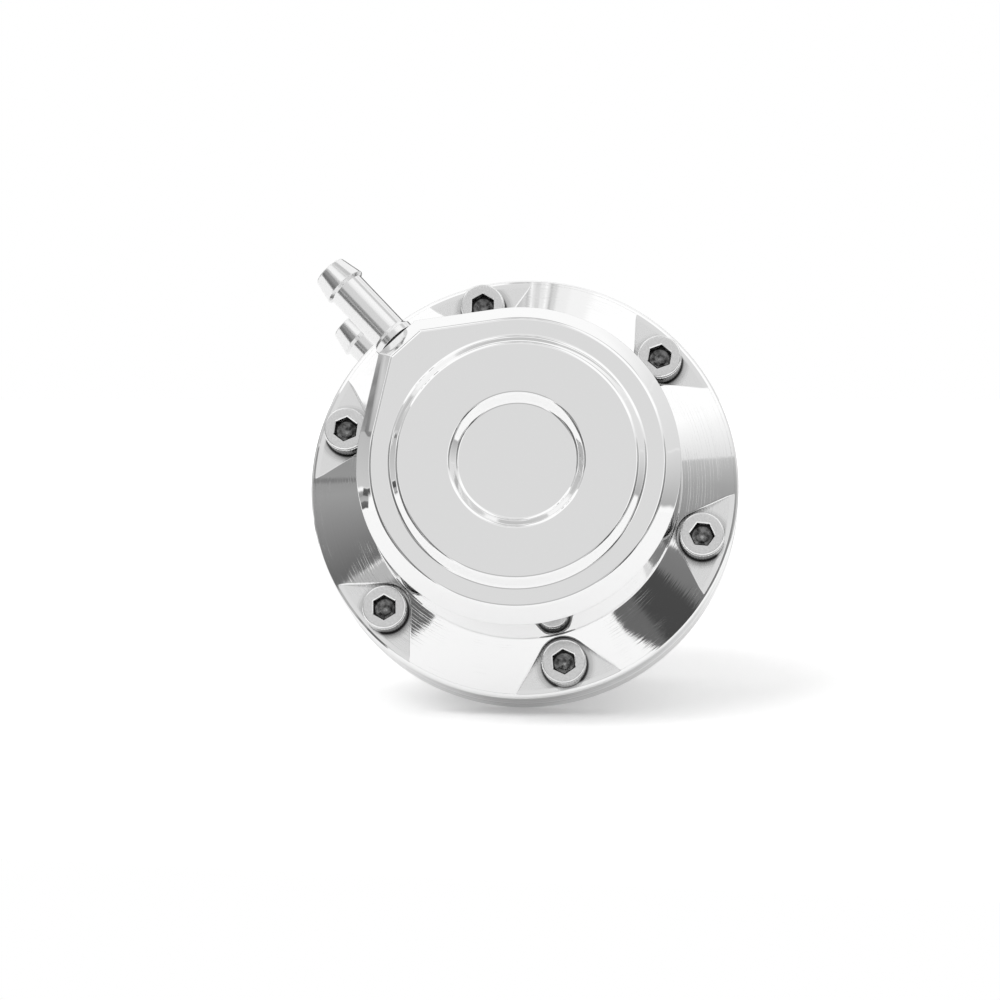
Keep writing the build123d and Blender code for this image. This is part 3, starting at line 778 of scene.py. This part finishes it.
def satin_metal(name, colour, roughness, mark_scale=1.6, mark_depth=0.0005, mottle_scale=1.3):
    """Metal with a satin finish: soft mottling and faint marks."""
    material, tree, shader = nodes_of(name, roughness, colour)
    place, _ = own_xyz(tree)
    mottle = noise(tree, vector=place, scale=mottle_scale, detail=2)
    mottled = ramp(tree, mottle, 0.3, 0.7, roughness * 0.75, roughness * 1.3)
    tree.links.new(mottled, shader.inputs["Roughness"])
    bump(tree, shader, noise(tree, vector=place, scale=mark_scale, detail=4), mark_depth)
    return material


def drawn_steel():
    """Bright steel turned and polished, with faint marks that run round each hose tail."""
    material, tree, shader = nodes_of("polished_steel", 0.24, (0.86, 0.86, 0.86))
    x = own_xyz(tree)[1][0]
    marks = noise(tree, w=x, scale=7.0, detail=2)
    tree.links.new(ramp(tree, marks, 0.3, 0.7, 0.12, 0.19), shader.inputs["Roughness"])
    bump(tree, shader, marks, 0.0006)
    return material


def moulded_rubber(name, grain=6.0):
    """Black rubber with the fine grain of its mould."""
    material, tree, shader = nodes_of(name, 0.55, (0.018, 0.018, 0.018), metallic=0.0)
    place, _ = own_xyz(tree)
    height = noise(tree, vector=place, scale=grain, detail=4)
    tree.links.new(ramp(tree, height, 0.3, 0.7, 0.45, 0.7), shader.inputs["Roughness"])
    bump(tree, shader, height, 0.01)
    return material


mirror = polished_aluminium()
screw_steel = screw_steel_finish()
socket_steel = socket_finish()
tail_steel = drawn_steel()
rubber = moulded_rubber("seal_rubber")
sheet_rubber = moulded_rubber("diaphragm_rubber", 1.5)
ground = satin_metal("ground_steel", (0.68, 0.68, 0.69), 0.16, mark_scale=8.0)
zinc = satin_metal("zinc_plated_steel", (0.62, 0.63, 0.65), 0.24,
                   mark_scale=1.0, mark_depth=0.0003, mottle_scale=0.3)
spring_steel = satin_metal("spring_steel", (0.35, 0.35, 0.37), 0.3)
bronze = satin_metal("bronze", (0.62, 0.45, 0.24), 0.25)
turned_aluminium = satin_metal("machined_aluminium", (0.75, 0.755, 0.76), 0.2)


# Pieces

piece("cap_shell", [cap_can(), cap_flange()[::-1]], "housing", [mirror], ["cap"],
      closed=False)
piece("body_shell", body_grids(), "housing", [mirror], ["body"],
      fills=(0, body_under_z, body_h))

screws = []
for number, angle in enumerate(screw_angles):
    middle = np.array([screw_pcd / 2 * cos(angle), screw_pcd / 2 * sin(angle), 0])
    screws += [grid + middle for grid in screw_grids(screw_turns[number])]
piece("socket_screws", screws, "housing", [screw_steel, socket_steel],
      ["cap_screws"], dark=range(1, len(screws), 2))

for name, reach, z in (("cap", cap_reach, cap_port_z), ("body", body_reach, body_port_z)):
    piece(name + "_tail", [tail_grid(reach, z)], "housing", [tail_steel],
          [name + "_hose_tail"])
    piece(name + "_tail_ring", [tail_seal_grid(reach, z)], "housing", [rubber],
          [name + "_tail_seal"])

rod = turned(rounded([
    (3.0, rod_out_z - 0.02), (rod_d / 2 - 0.5, rod_out_z, 0.05), (rod_d / 2, rod_out_z + 0.5, 0.1),
    (rod_d / 2, rod_top_z, 0.1), (thread_d / 2, rod_top_z, 0.05), (thread_d / 2, stud_top_z - 0.5, 0.1),
    (thread_d / 2 - 0.5, stud_top_z, 0.1), (0, stud_top_z),
]), 96)
rod_thread = threaded(thread_d / 2, thread_pitch, rod_end_z, rod_out_z, thread_depth)
rod_tip = turned([(0, rod_end_z), (thread_d / 2 - thread_depth, rod_end_z)], 64)
piece("rod_shaft", [rod, rod_thread, rod_tip], "rod_and_piston", [ground], ["actuator_rod"])
nuts = {"lock_nut": (lock_nut_z, lock_nut_h), "piston_nut": (piston_nut_z, piston_nut_h)}
for name, (low, height) in nuts.items():
    piece(name + "_hex", [nut_grid(nut_af, low, height, nut_bore_d)], "rod_and_piston",
          [zinc], [name])

for name, (mean_d, wire, turns) in springs.items():
    coil = piece(name + "_coil", [coil_grid(mean_d, wire, turns, spring_low_z, spring_high_z)], "housing",
                 [spring_steel], [name])
    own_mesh(coil)
sheet = piece("rolling_sheet", [sheet_grid()], "housing", [sheet_rubber], ["diaphragm"])
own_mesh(sheet)

# The pieces that keep the shape they come with, and the finish of each
plain_pieces = {
    "piston": turned_aluminium, "diaphragm_plate": turned_aluminium, "piston_washer": zinc,
    "seal_washer": zinc, "clevis": zinc, "clevis_pin": ground, "pin_clip": spring_steel,
    "seal_circlip": spring_steel, "rod_guide_bush": bronze, "rod_seal": rubber,
}
for node, material in plain_pieces.items():
    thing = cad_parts[node]
    thing.data.materials.clear()
    thing.data.materials.append(material)


# Camera: the part's axes as the camera sees them, x to the right, y down and z away

tilt, side, boss = radians(12.718), radians(72.861), radians(295.713)
axis = Vector((-sin(tilt) * cos(side), -sin(tilt) * sin(side), -cos(tilt)))
across = Vector((-sin(side), cos(side), 0))
over = axis.cross(across)
part_x = cos(boss) * across + sin(boss) * over
part_y = axis.cross(part_x)
seen = Matrix((part_x, part_y, axis))
# The middle of the flange's top edge, in the part's frame and as the camera sees it
rim_middle, rim_middle_seen = Vector((0, 0, 46.6)), Vector((4.636, -2.568, 600.0))
eye = (rim_middle - seen @ rim_middle_seen) * MM
right, up, back = seen @ Vector((1, 0, 0)), seen @ Vector((0, -1, 0)), seen @ Vector((0, 0, -1))
frame_px, focal_px = 1000, 3113
lens = bpy.data.cameras.new("camera")
lens.sensor_width = 36.0
lens.lens = lens.sensor_width * focal_px / frame_px
lens.clip_start, lens.clip_end = 0.01, 20
camera = bpy.data.objects.new("camera", lens)
turn = Matrix((right, up, back)).transposed().to_4x4()
camera.matrix_world = Matrix.Translation(eye) @ turn
scene.collection.objects.link(camera)
scene.camera = camera

# Table: the part lies on its flange's edge and its fork, so the table stands across its frame
look_down = radians(6.4)
table_up = (up * cos(look_down) + back * sin(look_down)).normalized()
table_front = (back * cos(look_down) - up * sin(look_down)).normalized()
lean = table_up.z
lowest = lean * (body_under_z + edge_break) - flange_d / 2 * (1 - lean ** 2) ** 0.5
table_gap = 0.02
centre = table_up * (lowest - table_gap)


def table():
    """A flat table top with its front edge short of the camera."""
    front_left, front_right, reach_back, reach_side = 112, 270, 700, 420
    corners = [centre + right * sx * reach_side + table_front * sy
               for sx, sy in ((-1, front_left), (1, front_right), (1, -reach_back), (-1, -reach_back))]
    mesh = bpy.data.meshes.new("table")
    mesh.from_pydata([(c * MM)[:] for c in corners], [], [(0, 1, 2, 3)])
    if mesh.polygons[0].normal.dot(table_up) < 0:
        mesh.flip_normals()
    top = bpy.data.objects.new("table", mesh)
    scene.collection.objects.link(top)
    material = bpy.data.materials.new("white_table")
    material.use_nodes = True
    tree = material.node_tree
    tree.nodes.clear()
    in_view = tree.nodes.new("ShaderNodeLightPath").outputs["Is Camera Ray"]
    place, _ = own_xyz(tree)
    fibres = ramp(tree, noise(tree, vector=place, scale=0.9, detail=3), 0.3, 0.7, 0.07, 0.0)
    white = ramp(tree, in_view, 0, 1, 0.74, 0.99, smooth=False)
    tone = maths(tree, "SUBTRACT", white, times(tree, in_view, fibres))
    matt = tree.nodes.new("ShaderNodeBsdfDiffuse")
    tree.links.new(tone, matt.inputs["Color"])
    glow = tree.nodes.new("ShaderNodeEmission")
    glow.inputs["Strength"].default_value = 0.18
    paper = add(tree, "ShaderNodeAddShader", None, matt.outputs[0], glow.outputs[0])
    clear = add(tree, "ShaderNodeBsdfTransparent")
    behind = tree.nodes.new("ShaderNodeNewGeometry").outputs["Backfacing"]
    choice = tree.nodes.new("ShaderNodeMixShader")
    tree.links.new(behind, choice.inputs[0])
    tree.links.new(paper, choice.inputs[1])
    tree.links.new(clear, choice.inputs[2])
    output = tree.nodes.new("ShaderNodeOutputMaterial")
    tree.links.new(choice.outputs[0], output.inputs["Surface"])
    mesh.materials.append(material)


table()


def grey(value):
    """The light that the polished metal, which returns 0.93 of it, shows as a grey from 0 to 255."""
    v = value / 255
    return (v / 12.92 if v <= 0.04045 else ((v + 0.055) / 1.055) ** 2.4) / 0.93


# The studio round the part: each card or lamp is a patch of one grey at its lower edge and
# another at its upper edge. Angles are degrees, to the camera's right of the line to the camera
# and above the table; the last number is how many degrees its edges take.
studio = [
    # from, to, bottom, top, grey below, grey above, edge
    (126, 150, -14, 24, 212, 220, 6),
    (150, 180, -14, 25, 115, 120, 6),
    (-180, -124, -14, 25, 112, 120, 6),
    (-40, 22, 8, 46, 217, 217, 4),
    (-22, 15, -4, 13, 178, 184, 4),
    (-42.6, -26, -1.5, 15, 110, 160, 3),
    (-24, 10, 50, 69, 226, 215, 4),
    (10, 24, 69, 80, 243, 245, 4),
    (3.6, 12, 69, 80, 237, 239, 1.5),
    (0.2, 3.7, 69, 80, 213, 213, 0.5),
    (-1.6, 0.3, 69, 80, 188, 188, 0.5),
    (-3.1, -1.5, 69, 80, 228, 228, 0.5),
    (-8.5, -5, 69, 80, 233, 233, 0.8),
    (-12, -8.4, 69, 80, 213, 213, 0.8),
    (-13.9, -11.9, 69, 80, 226, 226, 0.6),
    (-17.2, -15.5, 69, 80, 212, 212, 0.5),
    (-18.8, -17.1, 69, 80, 184, 184, 0.5),
    (-20.5, -18.7, 69, 80, 217, 217, 0.5),
    (-30, -20.4, 69, 80, 198, 198, 1),
    (24, 72, 31.9, 41, 222, 253, 1.2),
    (24, 72, 41, 76, 255, 255, 1.2),
    (34.8, 64, 4, 27, 93, 164, 0.8),
    (36.5, 64, 26, 31.9, 162, 188, 0.8),
    (36.5, 41, -9.5, -3.8, 221, 214, 0.8),
    (43.6, 66, -9.0, 4.6, 192, 166, 1),
    (40.5, 43.8, -4.2, 4.6, 130, 124, 0.5),
    (29, 37, -8, 11, 96, 124, 1),
    (17.4, 24, -8, 8, 99, 104, 0.5),
    (22.9, 29.8, -8, 8, 68, 73, 1.0),
    (-78, -45.9, -14, 7, 120, 102, 1),
    (-78, -45.9, 6.6, 23.2, 102, 157, 0.5),
    (-78, -44, 22, 31, 152, 142, 0.8),
    (-64, -54, 24.1, 25.1, 122, 122, 0.4),
    (-84, -44, 31.3, 41.6, 190, 202, 0.8),
    (-46.7, -42.6, -1.5, 6, 179, 179, 0.3),
    (-43.4, -30.4, -9, -1.5, 98, 98, 0.5),
    (-84, -30, 41.6, 78, 255, 255, 1.5),
    (-84, -68, 57.6, 60, 232, 232, 0.5),
    (-84, -68, 54.4, 56.4, 110, 110, 0.3),
    (-84, -68, 51.4, 52.6, 199, 199, 0.3),
    (-84, -68, 49.9, 50.9, 159, 159, 0.3),
    (-84, -68, 48, 48.9, 208, 208, 0.3),
    (66, 128, -3.5, 17, 172, 218, 2),
    (66, 132, 17, 38, 218, 227, 1),
    (80, 145, 38, 53, 227, 250, 1),
    (80, 112, 48, 80, 208, 205, 4),
    (-135, -97, 63.5, 80, 208, 196, 2),
    (-180, 180, 78, 100, 196, 196, 3),
    (-124, -86, 1.8, 20, 199, 183, 1),
    (-128, -94, 20, 45, 185, 236, 2),
    (-128, -117, 18, 38, 228, 248, 1.5),
    (-100, -88, 26, 42, 190, 196, 2),
    (-113, -106, 17.9, 19.2, 122, 135, 0.4),
    (-103, -95, -3.2, 0.4, 178, 150, 1),
    (-104, -100.5, -2.6, 0.4, 60, 78, 0.6),
    (-99.5, -95.5, -1.0, 1.6, 75, 95, 0.6),
    (-98.5, -95, -5.2, -2.8, 85, 110, 0.6),
]


def studio_world():
    """The studio as the light from each direction, white where the camera looks past the part."""
    world = bpy.data.worlds.new("studio")
    scene.world = world
    world.use_nodes = True
    tree = world.node_tree
    tree.nodes.clear()
    way = tree.nodes.new("ShaderNodeTexCoord").outputs["Generated"]

    def along(direction):
        node = tree.nodes.new("ShaderNodeVectorMath")
        node.operation = "DOT_PRODUCT"
        tree.links.new(way, node.inputs[0])
        node.inputs[1].default_value = direction
        return node.outputs["Value"]

    def fade(angle, at, edge, rising):
        ends = (0, 1) if rising else (1, 0)
        return ramp(tree, angle, at - edge / 2, at + edge / 2, *ends)

    to_right, to_front, to_up = along(right), along(table_front), along(table_up)
    turn_angle = maths(tree, "DEGREES", maths(tree, "ARCTAN2", to_right, to_front))
    rise = maths(tree, "DEGREES", maths(tree, "ARCSINE", to_up))
    light = ramp(tree, rise, -8, -6, grey(246), grey(250))
    for left, right_end, bottom, top, below, above, edge in studio:
        inside = times(tree, fade(rise, bottom, edge, True), fade(rise, top, edge, False))
        if left > -180:
            inside = times(tree, inside, fade(turn_angle, left, edge, True))
        if right_end < 180:
            inside = times(tree, inside, fade(turn_angle, right_end, edge, False))
        value = ramp(tree, rise, bottom, top, grey(below), grey(above), smooth=False)
        mix = tree.nodes.new("ShaderNodeMix")
        mix.data_type = "FLOAT"
        tree.links.new(inside, mix.inputs[0])
        tree.links.new(light, mix.inputs[2])
        tree.links.new(value, mix.inputs[3])
        light = mix.outputs[0]
    seen_white = tree.nodes.new("ShaderNodeMix")
    seen_white.data_type = "FLOAT"
    tree.links.new(tree.nodes.new("ShaderNodeLightPath").outputs["Is Camera Ray"], seen_white.inputs[0])
    tree.links.new(light, seen_white.inputs[2])
    seen_white.inputs[3].default_value = 1.0
    background = tree.nodes.new("ShaderNodeBackground")
    background.inputs["Color"].default_value = (1, 1, 1, 1)
    tree.links.new(seen_white.outputs[0], background.inputs["Strength"])
    output = tree.nodes.new("ShaderNodeOutputWorld")
    tree.links.new(background.outputs[0], output.inputs["Surface"])


studio_world()

# One broad lamp from the upper left gives the soft shadow on the table
lamp = bpy.data.lights.new("lamp", "SUN")
lamp.energy = 1.19
lamp.angle = radians(40)
lamp_thing = bpy.data.objects.new("lamp", lamp)
towards = (table_up * 0.7 - right * 0.55 + table_front * 0.42).normalized()
lamp_thing.rotation_euler = towards.to_track_quat("Z", "Y").to_euler()
lamp_thing.visible_glossy = False
scene.collection.objects.link(lamp_thing)

scene.view_settings.view_transform = "Standard"
